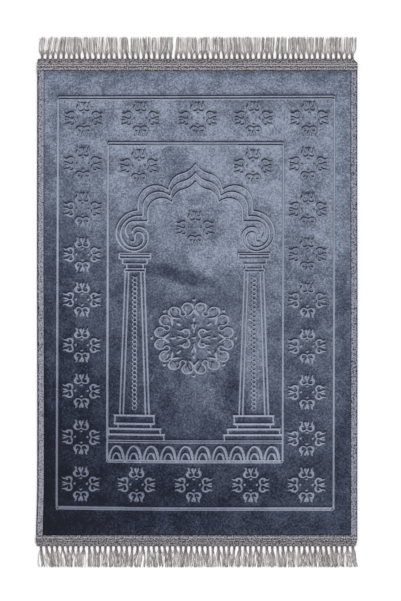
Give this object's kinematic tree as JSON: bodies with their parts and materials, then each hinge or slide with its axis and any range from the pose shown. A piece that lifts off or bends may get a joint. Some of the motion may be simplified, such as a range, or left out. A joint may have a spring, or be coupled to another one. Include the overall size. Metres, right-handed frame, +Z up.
{
  "type": "prayer rug",
  "caption": "Flat prayer rug of pressed velvet with a niche pattern, bound long sides and a fringed braid across each end.",
  "frame": {"origin": "middle of the rug's footprint, on the surface it lies on", "axes": "+Z up out of the pile, +Y towards the point of the niche and the upper fringe, +X across the rug to the right"},
  "size_m": [0.8025, 1.324, 0.0062],
  "materials": {
    "velvet": "heat-pressed velvet pile, blue-grey shading to near black",
    "side_tape": "two-tone woven tape, blue-grey",
    "end_braid": "ribbed cotton braid, warm grey",
    "fringe_yarn": "loose twisted yarn, light warm grey"
  },
  "bodies": {
    "root": {"velvet_panel": "velvet", "tape_left": "side_tape", "tape_right": "side_tape", "braid_top": "end_braid", "braid_lower": "end_braid", "fringe_top": "fringe_yarn", "fringe_lower": "fringe_yarn"}
  },
  "joints": []
}
